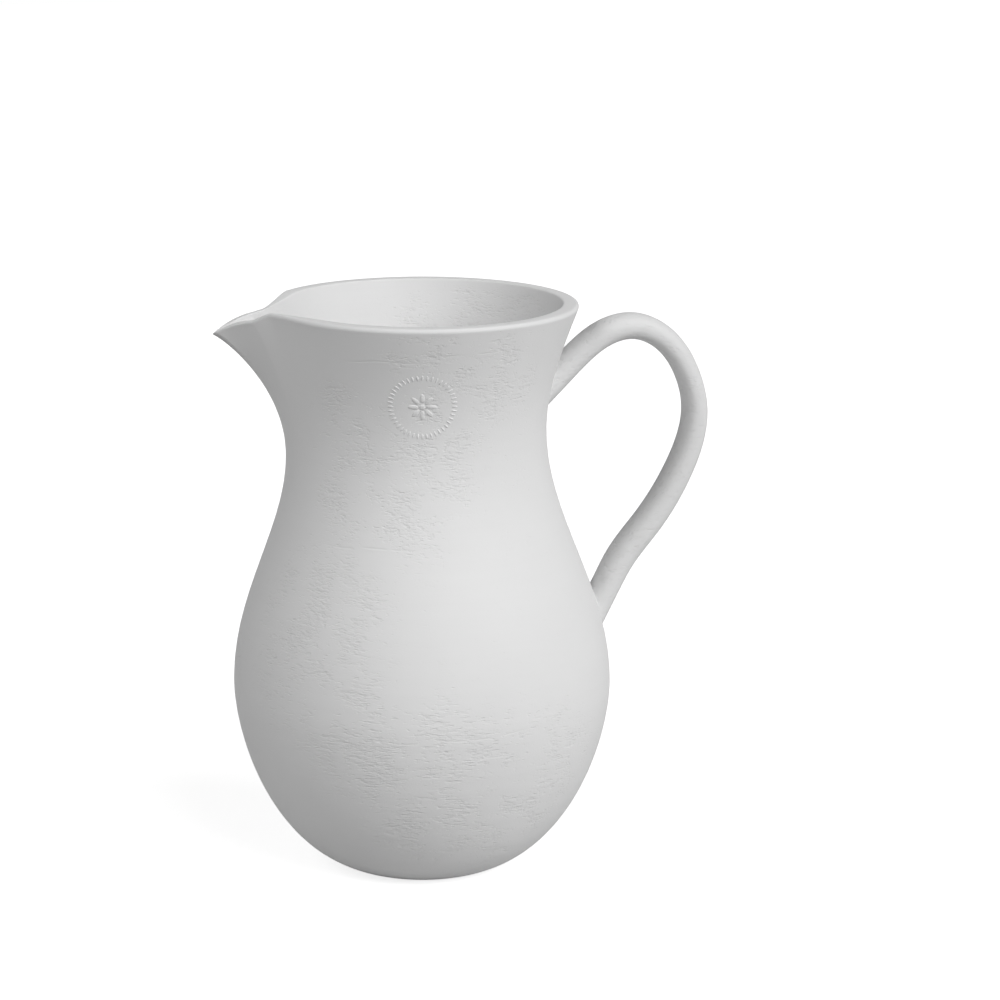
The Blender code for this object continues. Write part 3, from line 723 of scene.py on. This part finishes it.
def turned_wall_tree():
    """Wall swept round the axis from its rows, with the spout pulled out of its rim."""
    t = Tree("turned_wall", "GeometryNodeTree")
    rows = t.takes("Rows", kind="Object")
    columns = t.takes("Columns", kind="Object")
    row_count = t.takes("Row Count", 10, "Int")
    column_count = t.takes("Column Count", 10, "Int")
    rim_height = t.takes("Rim Height", HEIGHT)
    lip_round = t.takes("Lip Round", LIP_OUTER_ROUND)
    pull_length = t.takes("Pull Length", PULL_LENGTH)
    pull_shape = t.takes("Pull Shape", PULL_SHAPE)
    pull_foot = t.takes("Pull Foot", PULL_FOOT)
    pull_fade = t.takes("Pull Fade", PULL_FADE)
    ridge_length = t.takes("Ridge Length", RIDGE_LENGTH)
    ridge_shape = t.takes("Ridge Shape", RIDGE_SHAPE)
    pinch_length = t.takes("Pinch Length", PINCH_LENGTH)
    edge_spare = t.takes("Edge Spare", LIP_OUTER_ROUND - SPOUT_EDGE_ROUND)
    edge_length = t.takes("Edge Thinning Length", EDGE_THINNING_LENGTH)
    spread = t.takes("Spout Spread", SPOUT_SPREAD)
    ring_height = t.takes("Throwing Ring Height", RING_HEIGHT)
    ring_pitch = t.takes("Throwing Ring Pitch", RING_PITCH)
    wave_height = t.takes("Wave Height", WAVE_HEIGHT)
    wrinkle_height = t.takes("Wrinkle Height", WRINKLE_HEIGHT)
    clay = t.takes("Clay", kind="Material")

    grid, across_share, up_share = unit_grid(t, column_count, row_count)
    column = station_at(t, across_share, column_count)
    row = station_at(t, up_share, row_count)
    row_mesh = t.shape_of(rows)
    column_mesh = t.shape_of(columns)
    radius, across, height = t.parts(sampled(t, row_mesh, t.here(), row))
    turn = t.parts(sampled(t, column_mesh, t.here(), column))[0]
    pulls = {n: sampled(t, column_mesh, named(t, n), column) for n in PULL_NAMES}

    drop = t.minus(rim_height, height)
    below = t.sum("MAXIMUM", t.minus(drop, lip_round), 0.0)

    def fading(length, shape=1.0):
        """1 at the lip, dying away down the wall over a length."""
        return t.sum("EXPONENT", t.times(t.sum("POWER", t.over(below, length), shape), -1.0))

    fade = t.ramp(t.over(t.minus(pull_foot, below), pull_fade), 0.0, 1.0)
    weight = t.times(fading(pull_length, pull_shape), fade)
    ridge = fading(ridge_length, ridge_shape)
    pinch = t.times(fading(pinch_length, ridge_shape), ridge)
    flank = t.minus(ridge, pinch)
    swell = t.minus(1.0, ridge)
    moved = None
    for part, share in (("pinch", pinch), ("flank", flank), ("swell", swell)):
        mixed = t.mix(across, pulls[part + "_outer"], pulls[part + "_inner"])
        pull = t.scaled(mixed, share)
        moved = pull if moved is None else t.moved(moved, pull)
    moved = t.scaled(moved, weight)
    thin = t.ramp(t.minus(1.0, t.over(t.sum("ABSOLUTE", turn), spread)), 0.0, 1.0)
    spare = t.sum("MINIMUM", drop, edge_spare)
    outside = t.sum("LESS_THAN", across, ALL_INSIDE)
    lift = t.times(spare, fading(edge_length), t.times(outside, thin))
    base = t.vector(t.times(radius, t.sum("COSINE", turn), -1.0), t.times(radius, t.sum("SINE", turn)),
                    t.plus(height, lift))
    shaped = t.placed(grid, Position=t.moved(base, moved))
    kept = t.made("GeometryNodeStoreNamedAttribute", {"Geometry": shaped, "Name": "inside",
                                                      "Value": across}, data_type="FLOAT", domain="POINT")
    closed = t.welded(kept)

    where = t.here()
    x, y, level = t.parts(where)
    inside = t.made("GeometryNodeInputNamedAttribute", {"Name": "inside"}, data_type="FLOAT")
    spiral = t.plus(t.over(level, ring_pitch), t.over(t.sum("ARCTAN2", y, x), 2 * math.pi))
    ring = t.sum("SINE", t.times(spiral, 2 * math.pi))
    below_lip = t.ramp(level, *(HEIGHT - depth for depth in RINGS_BELOW_LIP))
    inner_share = t.plus(t.times(t.sum("GREATER_THAN", inside, ALL_INSIDE), 1.0 - OUTSIDE_RING_SHARE),
                         OUTSIDE_RING_SHARE)
    ring_share = t.times(below_lip, t.noise(where, RING_PATCH_SCALE), inner_share)
    above_foot = t.ramp(level, *RINGS_ABOVE_FOOT)
    rings = t.times(ring, ring_height, t.times(ring_share, above_foot))
    thrown = t.placed(closed, Offset=t.scaled(t.outward(), rings))
    return finished(t, with_relief(t, thrown, wave_height, wrinkle_height, above_foot, WALL_STRETCH), clay)


def clay_relief_tree():
    """Low waves of a hand-smoothed surface, and patches of fine wiping wrinkles."""
    t = Tree("clay_relief", "GeometryNodeTree")
    shape = t.takes("Geometry", kind="Geometry")
    wave_height = t.takes("Wave Height", WAVE_HEIGHT)
    wrinkle_height = t.takes("Wrinkle Height", WRINKLE_HEIGHT)
    share = t.takes("Share", 1.0)
    stretch = t.takes("Stretch", WALL_STRETCH, "Vector")
    where = t.here()
    wave = t.times(t.centred(t.noise(where, WAVE_SCALE, 1.0)), wave_height)
    fine = t.centred(t.noise(t.stretched(where, stretch), 1.0, 1.0))
    wrinkles = t.times(fine, wrinkle_height, crease_cover(t, where))
    height = t.times(t.plus(wave, wrinkles), share)
    moved = t.placed(shape, Offset=t.scaled(t.outward(), height))
    t.gives("Geometry", t.made("GeometryNodeSetShadeSmooth", {"Geometry": moved}), "Geometry")
    return t.tree


def swept_strap_tree():
    """Strap swept along its stations, with a section between a circle and a rectangle."""
    t = Tree("swept_strap", "GeometryNodeTree")
    stations = t.takes("Stations", kind="Object")
    ring_count = t.takes("Ring Count", 10, "Int")
    point_count = t.takes("Point Count", 10, "Int")
    squareness = t.takes("Squareness", HANDLE_SQUARENESS)
    wave_height = t.takes("Wave Height", WAVE_HEIGHT)
    wrinkle_height = t.takes("Wrinkle Height", WRINKLE_HEIGHT)
    clay = t.takes("Clay", kind="Material")
    grid, round_share, along_share = unit_grid(t, point_count, ring_count)
    turn = t.times(round_share, 2 * math.pi)
    row = station_at(t, along_share, ring_count)
    line = t.shape_of(stations)
    power = t.over(2.0, squareness)

    def rounded(operation):
        """Sine or cosine of the turn, drawn towards a rectangle's corners."""
        wave = t.sum(operation, turn)
        return t.times(t.sum("SIGN", wave), t.sum("POWER", t.sum("ABSOLUTE", wave), power))

    out = t.scaled(sampled(t, line, named(t, "half_out"), row), rounded("COSINE"))
    side = t.scaled(sampled(t, line, named(t, "half_side"), row), rounded("SINE"))
    point = t.moved(sampled(t, line, t.here(), row), t.moved(out, side))
    closed = t.welded(t.placed(grid, Position=point))
    return finished(t, with_relief(t, closed, wave_height, wrinkle_height, 1.0, STRAP_STRETCH), clay)


def pressed_rosette_tree():
    """Ring of short ticks round a flower of petals, raised on the wall where it is pressed."""
    t = Tree("pressed_rosette", "GeometryNodeTree")
    wall = t.takes("Wall", kind="Object")
    seal_turn = t.takes("Turn", SEAL_TURN)
    seal_height = t.takes("Height", SEAL_HEIGHT)
    radius = t.takes("Radius", SEAL_RADIUS)
    ticks = t.takes("Tick Count", SEAL_TICKS, "Int")
    petals = t.takes("Petal Count", SEAL_PETALS, "Int")
    petal_share = t.takes("Petal Ring Share", PETAL_RING_SHARE)
    tick_size = t.takes("Tick Size", TICK_SIZE, "Vector")
    petal_size = t.takes("Petal Size", PETAL_SIZE, "Vector")
    boss_size = t.takes("Boss Size", BOSS_SIZE, "Vector")
    clay = t.takes("Clay", kind="Material")

    def ring_of(count, ring_radius, size):
        """Beads in a ring, each with its length pointing outwards."""
        circle = t.made("GeometryNodeMeshCircle", {"Vertices": count, "Radius": ring_radius})
        bead = t.made("GeometryNodeMeshUVSphere", {"Segments": BEAD_SEGMENTS, "Rings": BEAD_RINGS,
                                                   "Radius": 1.0})
        index = t.made("GeometryNodeInputIndex")
        turn = t.times(t.over(index, count), 2 * math.pi)
        return t.made("GeometryNodeInstanceOnPoints", {
            "Points": circle, "Instance": bead, "Rotation": t.vector(z=turn), "Scale": size})

    boss = ring_of(BOSS_BEADS, BOSS_SPREAD, boss_size)
    joined = t.node("GeometryNodeJoinGeometry")
    petal_ring = ring_of(petals, t.times(radius, petal_share), petal_size)
    for part in (ring_of(ticks, radius, tick_size), petal_ring, boss):
        t.tree.links.new(part, joined.inputs[0])
    flat = t.made("GeometryNodeRealizeInstances", {"Geometry": joined.outputs[0]})
    across, up, out = t.parts(t.here())
    angle = t.plus(seal_turn, t.over(across, NECK_RADIUS))
    radial = t.vector(t.sum("SINE", angle), t.times(t.sum("COSINE", angle), -1.0))
    start = t.moved(t.vector(z=t.plus(seal_height, up)), t.scaled(radial, RAY_START))
    hit = t.node("GeometryNodeRaycast", {"Target Geometry": t.shape_of(wall), "Source Position": start,
                                         "Ray Direction": t.scaled(radial, -1.0), "Ray Length": RAY_LENGTH})
    landed = t.moved(hit.outputs["Hit Position"], t.scaled(radial, out))
    wrapped = t.placed(flat, Position=landed)
    return finished(t, t.made("GeometryNodeSetShadeSmooth", {"Geometry": wrapped}), clay)


def fired_clay_group():
    """Colour, roughness and height of matte white clay with its creases, scratches and pits; the colour is
    darkened in the dents and pits as painted shade.
    """
    t = Tree("fired_clay", "ShaderNodeTree")
    where = t.takes("Vector", kind="Vector")
    light = t.takes("Light Tone", (0.78, 0.78, 0.78, 1.0), "Color")
    dark = t.takes("Dark Tone", (0.70, 0.70, 0.70, 1.0), "Color")
    streaks = t.takes("Streaks", 0.1)
    creases = t.takes("Creases", 0.8)
    spread = t.takes("Crease Spread", 0.1)
    wrap = t.takes("Wrap", 1.0)
    pits = t.takes("Pits", 0.3)
    x, _, level = t.parts(where)
    flat = t.stretched(where, (1.0, 1.0, 0.0))
    reach = t.node("ShaderNodeVectorMath", {0: flat}, operation="LENGTH").outputs["Value"]
    share = t.over(BELLY_RADIUS, t.sum("MAXIMUM", reach, 0.5 * BELLY_RADIUS))
    around = t.mix(wrap, where, t.moved(t.scaled(flat, share), t.vector(z=level)))

    cover = t.sum("MAXIMUM", crease_cover(t, where), spread)
    deep = t.minus(DENT_LEVEL, t.times(cover, DENT_GAIN))
    dents = None
    for stretch, depth in DENT_GRAINS:
        crease = t.noise(t.stretched(around, stretch), 1.0, 2.0, 0.6)
        dent = t.times(t.ramp(t.minus(crease, deep), 0.0, DENT_SOFTNESS), depth)
        dents = dent if dents is None else t.plus(dents, dent)

    wobble = t.times(t.centred(t.noise(where, WOBBLE_SCALE, 2.0)), SCRATCH_WOBBLE)
    whole = t.ramp(t.noise(where, BREAK_SCALE, 1.0), *BREAK_LEVELS)
    for turn, height, tilt, half_length in SCRATCHES:
        centre = on_wall(turn, height)
        line = t.plus(t.minus(level, height), wobble)
        side = t.minus(x, centre[0])
        line = t.sum("ABSOLUTE", t.minus(line, t.times(side, tilt)))
        shown = t.ramp(distance(t, where, centre), half_length, 0.5 * half_length)
        scratch = t.times(t.ramp(line, *SCRATCH_WIDTHS), t.times(shown, whole), SCRATCH_DEPTH)
        dents = t.sum("MAXIMUM", dents, scratch)
    dents = t.times(dents, creases)

    mottle = t.noise(where, MOTTLE_SCALE, 3.0)
    streak = t.noise(t.stretched(where, STREAK_STRETCH), 1.0, 3.0, 0.6)
    streak = t.times(t.centred(streak), streaks)
    grain = t.centred(t.noise(where, GRAIN_SCALE, 2.0, 0.6))
    # Pits sink the surface, and the same mask darkens the colour as painted shade
    pit = t.ramp(t.noise(where, PIT_SCALE, 1.0), *PIT_LEVELS)
    pit_patch = t.ramp(t.noise(where, PIT_PATCH_SCALE, 2.0), *PIT_PATCH_LEVELS)
    pits_and_pit_shade = t.times(pit, pit_patch, pits)

    # Tone from mottle and streaks, darkened in the pits and dents as painted shade
    tone = 0.0
    for source, gain in ((t.centred(mottle), MOTTLE_TONE), (streak, STREAK_TONE), (pits_and_pit_shade, PAINTED_PIT_SHADE),
                         (dents, PAINTED_DENT_SHADE)):
        tone = t.plus(t.times(source, gain), tone)
    tone = t.plus(tone, TONE_LEVEL, clamp=True)
    t.gives("Color", t.mix(tone, light, dark, "RGBA"), "Color")
    rough = t.plus(ROUGHNESS, t.times(mottle, ROUGHNESS_SPREAD), clamp=True)
    t.gives("Roughness", rough)
    height = t.plus(streak, t.times(grain, GRAIN_HEIGHT))
    t.gives("Height", t.minus(t.minus(height, dents), pits_and_pit_shade))
    return t.tree


def opened(holder):
    """Nodes and links of a material or a world."""
    holder.use_nodes = True
    return holder.node_tree.nodes, holder.node_tree.links


def fill(node, values):
    """Give inputs of a node plain values; a single tone stands for a grey."""
    for key, value in values.items():
        node.inputs[key].default_value = (value,) * 3 + (1.0,) if key in TONE_INPUTS else value


def clay_material(name):
    """Matte clay whose pattern lies in the piece itself."""
    light, dark, bump, pattern = FINISHES[name]
    material = bpy.data.materials.new(name)
    nodes, links = opened(material)
    shader = nodes["Principled BSDF"]
    fill(shader, {"Specular IOR Level": SHEEN})
    group = nodes.new("ShaderNodeGroup")
    group.node_tree = clay_group
    fill(group, {"Light Tone": light, "Dark Tone": dark, **pattern})
    place = nodes.new("ShaderNodeTexCoord")
    links.new(place.outputs["Object"], group.inputs["Vector"])
    relief = nodes.new("ShaderNodeBump")
    fill(relief, {"Strength": 1.0, "Distance": bump})
    links.new(group.outputs["Color"], shader.inputs["Base Color"])
    links.new(group.outputs["Roughness"], shader.inputs["Roughness"])
    links.new(group.outputs["Height"], relief.inputs["Height"])
    links.new(relief.outputs["Normal"], shader.inputs["Normal"])
    return material


def strap_section(count):
    """Shares of the half thickness and half width round the strap."""
    turn = 2 * np.pi * np.arange(count) / count
    power = 2 / HANDLE_SQUARENESS
    out = np.sign(np.cos(turn)) * np.abs(np.cos(turn)) ** power
    side = np.sign(np.sin(turn)) * np.abs(np.sin(turn)) ** power
    return out, side


def slide_to_wall(points, towards, gap, travel):
    """Slide points along a direction until they lie on the wall moved out by a gap."""
    near = np.zeros(len(points))
    far = np.full(len(points), travel)
    for _ in range(40):
        middle = (near + far) / 2
        p = points + middle[:, None] * towards
        outside = np.hypot(p[:, 0], p[:, 1]) > wall_radius(p[:, 2], gap)
        near = np.where(outside, middle, near)
        far = np.where(outside, far, middle)
    return points + near[:, None] * towards


def handle_run():
    """Free run of the strap between its ends, as middle points, directions and thickness."""
    points, thickness = handle_stations(HANDLE_RINGS)
    along = np.gradient(points, axis=0)
    along = along / np.linalg.norm(along, axis=1)[:, None]
    gone = np.concatenate([[0.0], np.cumsum(np.linalg.norm(np.diff(points, axis=0), axis=1))])
    free = (gone >= ROOT_LENGTH) & (gone <= gone[-1] - ROOT_LENGTH)
    return points[free], along[free], thickness[free]


def strap_stations():
    """Middle line of the strap, closed and straight at both ends, and its halves as vectors."""
    points, along, thickness = handle_run()
    ends = []
    for k, sign in ((0, -1.0), (-1, 1.0)):
        way = along[k] * sign
        start = np.array([[points[k][0], 0.0, points[k][1]]])
        landed = slide_to_wall(start, np.array([way[0], 0.0, way[1]]), 0.0, ROOT_TRAVEL)[0]
        reach = math.hypot(landed[0] - points[k][0], landed[2] - points[k][1]) + ROOT_SINK
        ends.append([points[k] + way * d for d in np.linspace(0, reach, ROOT_RINGS + 1)[1:]])
    top, low = ends
    middle = np.array(top[::-1] + list(points) + low)
    scale = np.concatenate([CAP_SHARES, np.ones(len(middle)), CAP_SHARES[::-1]])
    caps = len(CAP_SHARES)
    middle = np.pad(middle, ((caps, caps), (0, 0)), "edge")
    more = (len(top) + caps, len(low) + caps)
    along = np.pad(along, (more, (0, 0)), "edge")
    half = np.pad(thickness, more, "edge") / 2
    zero = np.zeros(len(middle))
    centre = np.stack([middle[:, 0], zero, middle[:, 1]], axis=1)
    half_out = np.stack([-along[:, 1] * half * scale, zero, along[:, 0] * half * scale], axis=1)
    half_side = np.stack([zero, scale * HANDLE_WIDTH / 2, zero], axis=1)
    return centre, half_out, half_side


def settle_on_wall(body, sink):
    """Bring what reached into the wall back to just under its surface."""
    mesh = body.data
    points = np.empty(len(mesh.vertices) * 3)
    mesh.vertices.foreach_get("co", points)
    points = points.reshape(-1, 3)
    _, along, _ = handle_run()
    for sign, k, chosen in ((-1.0, 0, points[:, 2] > UPPER_ROOT_ABOVE),
                            (1.0, -1, points[:, 2] < LOWER_ROOT_BELOW)):
        way = np.array([along[k][0], 0.0, along[k][1]]) * sign
        reach = np.hypot(points[:, 0], points[:, 1])
        deep = chosen & (reach < wall_radius(points[:, 2], -sink)) & (points[:, 0] > 0)
        back = points[deep] - way * ROOT_TRAVEL / 2
        points[deep] = slide_to_wall(back, way, -sink, ROOT_TRAVEL)
    mesh.vertices.foreach_set("co", points.ravel())
    mesh.update()


def joint_smear(name, k, material):
    """Slip smoothed into a hollow fillet round one end of the strap."""
    points, along, thickness = handle_run()
    way = along[k] * (-1.0 if k == 0 else 1.0)
    towards = np.array([way[0], 0.0, way[1]])
    out, side = strap_section(SMEAR_POINTS)
    normal = np.array([-along[k][1], along[k][0]])
    half_out = thickness[k] / 2
    rings = []

    def outline(grow, scale, gap):
        """The strap's section, grown and scaled, where it meets the wall."""
        xz = points[k] + (out * (half_out + grow) * scale)[:, None] * normal
        flat = np.stack([xz[:, 0], side * (HANDLE_WIDTH / 2 + grow) * scale, xz[:, 1]], axis=1)
        return slide_to_wall(flat, towards, gap, ROOT_TRAVEL)

    for scale in CAP_SHARES[1:]:
        rings.append(outline(SMEAR_SPREAD, scale, -SMEAR_SINK))
    for turn in np.linspace(0, math.pi / 2, SMEAR_STEPS):
        grow = SMEAR_SPREAD * (1 - math.sin(turn)) + SMEAR_COVER
        lift = SMEAR_RISE * (1 - math.cos(turn))
        rings.append(outline(grow, 1.0, -SMEAR_SINK * (1 - math.sin(turn))) - towards * lift)
    top = rings[-1]
    middle = top.mean(axis=0)
    for scale in CAP_SHARES[:0:-1]:
        rings.append(middle + (top - middle) * scale)
    count = len(rings)
    ends = [rings[0].mean(axis=0), middle]
    if k != 0:
        rings = rings[::-1]
        ends = ends[::-1]
    vertices = [tuple(p) for ring in rings for p in ring] + [tuple(e) for e in ends]
    faces = []
    for i in range(count - 1):
        for j in range(SMEAR_POINTS):
            n = (j + 1) % SMEAR_POINTS
            a = i * SMEAR_POINTS
            faces.append((a + j, a + n, a + SMEAR_POINTS + n, a + SMEAR_POINTS + j))
    last = (count - 1) * SMEAR_POINTS
    for j in range(SMEAR_POINTS):
        n = (j + 1) % SMEAR_POINTS
        faces.append((n, j, count * SMEAR_POINTS))
        faces.append((last + j, last + n, count * SMEAR_POINTS + 1))
    mesh = bpy.data.meshes.new(name)
    mesh.from_pydata(vertices, [], faces)
    mesh.materials.append(material)
    mesh.update()
    mesh.shade_smooth()
    return put(name, mesh)


def volume(body):
    """Signed volume, to see that faces point outwards."""
    mesh = body.data
    mesh.calc_loop_triangles()
    points = np.empty(len(mesh.vertices) * 3)
    mesh.vertices.foreach_get("co", points)
    corners = np.empty(len(mesh.loop_triangles) * 3, dtype=np.int32)
    mesh.loop_triangles.foreach_get("vertices", corners)
    a, b, c = points.reshape(-1, 3)[corners.reshape(-1, 3)].transpose(1, 0, 2)
    return float(np.einsum("ij,ij->i", a, np.cross(b, c)).sum() / 6)


def face_outwards(body):
    """Turn the faces round where they point inwards."""
    if volume(body) < 0:
        body.data.flip_normals()
    return body


def seen_by(nodes, links, rays):
    """1 for the named kinds of ray, such as the camera's, and 0 for all others."""
    path = nodes.new("ShaderNodeLightPath")
    seen = path.outputs[rays[0]]
    for ray in rays[1:]:
        either = nodes.new("ShaderNodeMath")
        either.operation = "MAXIMUM"
        links.new(seen, either.inputs[0])
        links.new(path.outputs[ray], either.inputs[1])
        seen = either.outputs[0]
    return seen


def pick_shader(nodes, links, share, first, second, end):
    """The first shader where the share is 0 and the second where it is 1."""
    pick = nodes.new("ShaderNodeMixShader")
    for socket, source in zip(pick.inputs, (share, first, second)):
        links.new(source, socket)
    links.new(pick.outputs[0], nodes[end].inputs["Surface"])


def build_floor():
    """Pale floor that looks white to the camera and still takes the vase's shadow."""
    mesh = bpy.data.meshes.new("floor")
    half = FLOOR_HALF
    mesh.from_pydata([(-half, -half, 0), (half, -half, 0), (half, half, 0), (-half, half, 0)], [],
                     [(0, 1, 2, 3)])
    paper = bpy.data.materials.new("paper_floor")
    nodes, links = opened(paper)
    nodes.remove(nodes["Principled BSDF"])
    matte = nodes.new("ShaderNodeBsdfDiffuse")
    fill(matte, {"Color": FLOOR_TONE})
    glow = nodes.new("ShaderNodeEmission")
    fill(glow, {"Strength": FLOOR_GLOW})
    both = nodes.new("ShaderNodeAddShader")
    links.new(matte.outputs[0], both.inputs[0])
    links.new(glow.outputs[0], both.inputs[1])
    seen = seen_by(nodes, links, ("Is Camera Ray", "Is Glossy Ray"))
    pick_shader(nodes, links, seen, matte.outputs[0], both.outputs[0], "Material Output")
    mesh.materials.append(paper)
    put("floor", mesh)


def build_room():
    """Soft fill light all round, which looks white to the camera."""
    world = bpy.data.worlds.new("studio")
    bpy.context.scene.world = world
    nodes, links = opened(world)
    soft = nodes["Background"]
    white = nodes.new("ShaderNodeBackground")
    fill(soft, {"Color": 1.0, "Strength": FILL_LEVEL})
    fill(white, {"Color": 1.0, "Strength": 1.0})
    seen = seen_by(nodes, links, ("Is Camera Ray", "Is Transmission Ray", "Is Glossy Ray"))
    pick_shader(nodes, links, seen, soft.outputs[0], white.outputs[0], "World Output")


def build_lamps():
    """Three soft lamps: two from the right and a weak one from the left behind."""
    for name, turn, rise, softness, strength in LAMPS:
        lamp = bpy.data.lights.new(name, "SUN")
        lamp.energy = strength
        lamp.angle = math.radians(softness)
        holder = put(name, lamp)
        holder.rotation_euler = (math.pi / 2 - math.radians(rise), 0.0, math.radians(turn))


def build_camera():
    """Camera at the photograph's viewing angle."""
    camera = bpy.data.cameras.new("camera")
    camera.sensor_width = SENSOR_WIDTH
    camera.lens = VIEW_LENS
    camera.shift_x, camera.shift_y = VIEW_SHIFT
    camera.clip_end = VIEW_END
    eye = put("camera", camera)
    level = math.cos(VIEW_RISE)
    back = Vector((math.sin(VIEW_TURN) * level, -math.cos(VIEW_TURN) * level, math.sin(VIEW_RISE)))
    eye.location = Vector((0.0, 0.0, HEIGHT / 2)) + VIEW_DISTANCE * back
    eye.rotation_euler = (math.pi / 2 - VIEW_RISE, 0.0, VIEW_TURN)
    bpy.context.scene.camera = eye
    bpy.context.scene.view_settings.view_transform = "Standard"


outside = outside_rows()
inside = inside_rows()
WALL_ROWS = tuple(part[FOOT_ROWS + 2:-LIP_STEPS] for part in outside)
clay_group = fired_clay_group()
relief_tree = clay_relief_tree()
body_clay, handle_clay, slip_clay = (clay_material(name) for name in FINISHES)

rows = np.concatenate([np.stack(outside, axis=1), np.stack(inside, axis=1)])
turn, pulls = column_pulls()
row_guide = guide("wall_rows", rows)
column_guide = guide("wall_columns", np.stack([turn, 0 * turn, 0 * turn], axis=1), pulls)
vessel = bake(turned_wall_tree(), "turned_vessel", {
    "Rows": row_guide, "Columns": column_guide, "Row Count": len(rows), "Column Count": COLUMNS + 1,
    "Clay": body_clay})
face_outwards(vessel)

centre, half_out, half_side = strap_stations()
strap_guide = guide("strap_stations", centre, {"half_out": half_out, "half_side": half_side})
strap = bake(swept_strap_tree(), "strap_handle", {
    "Stations": strap_guide, "Ring Count": len(centre), "Point Count": HANDLE_POINTS + 1,
    "Clay": handle_clay})
settle_on_wall(strap, HANDLE_SINK)
face_outwards(strap)
upper_smear = face_outwards(joint_smear("upper_joint_smear", 0, slip_clay))
lower_smear = face_outwards(joint_smear("lower_joint_smear", -1, slip_clay))
rosette = bake(pressed_rosette_tree(), "pressed_rosette", {"Wall": vessel, "Clay": body_clay})
for used in (row_guide, column_guide, strap_guide):
    bpy.data.objects.remove(used, do_unlink=True)

for piece, nodes, slot in ((vessel, ("vessel_body",), "body_clay"), (strap, ("handle",), "handle_clay"),
                           (upper_smear, ("upper_slip_joint",), "joint_slip"),
                           (lower_smear, ("lower_slip_joint",), "joint_slip"),
                           (rosette, (), "body_clay")):
    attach(piece, "root")
    if nodes:
        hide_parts(*nodes)

build_floor()
build_room()
build_lamps()
build_camera()
